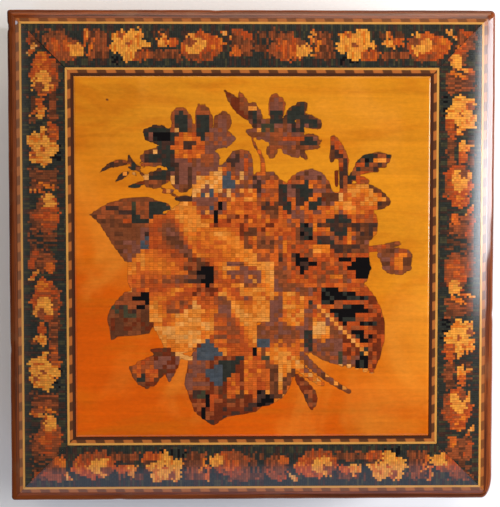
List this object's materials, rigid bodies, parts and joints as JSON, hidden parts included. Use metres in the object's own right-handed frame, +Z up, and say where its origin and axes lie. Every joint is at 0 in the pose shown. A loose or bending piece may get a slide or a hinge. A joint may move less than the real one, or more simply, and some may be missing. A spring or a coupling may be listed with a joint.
{
  "type": "tunbridge ware box",
  "caption": "Nearly square wooden box with a loose lift-off lid, mosaic borders and a flat mosaic panel on top.",
  "frame": {"origin": "middle of the underside, where the box stands", "axes": "+Z up, -Y towards the front (the lower edge of the lid's picture), +X to the right"},
  "size_m": [0.17, 0.172, 0.0713],
  "materials": {
    "rosewood": "French polished",
    "mosaic": "varnished end grain",
    "banding": "varnished",
    "satinwood": "varnished, glossy",
    "lining_wood": "satin",
    "deal": "bare, planed"
  },
  "bodies": {
    "root": {"base_board": "deal", "body_wall_back": "rosewood", "body_wall_front": "rosewood", "body_wall_left": "rosewood", "body_wall_right": "rosewood", "bouquet_panel": "satinwood", "edge_moulding_back": "rosewood", "edge_moulding_front": "rosewood", "edge_moulding_left": "rosewood", "edge_moulding_right": "rosewood", "inner_banding_back": "banding", "inner_banding_front": "banding", "inner_banding_left": "banding", "inner_banding_right": "banding", "lid_board": "deal", "lid_side_back": "rosewood", "lid_side_front": "rosewood", "lid_side_left": "rosewood", "lid_side_right": "rosewood", "lining_back": "lining_wood", "lining_front": "lining_wood", "lining_left": "lining_wood", "lining_right": "lining_wood", "mosaic_border_back": "mosaic", "mosaic_border_front": "mosaic", "mosaic_border_left": "mosaic", "mosaic_border_right": "mosaic", "outer_banding_back": "banding", "outer_banding_front": "banding", "outer_banding_left": "banding", "outer_banding_right": "banding", "side_band_back": "mosaic", "side_band_front": "mosaic", "side_band_left": "mosaic", "side_band_right": "mosaic"}
  },
  "joints": []
}
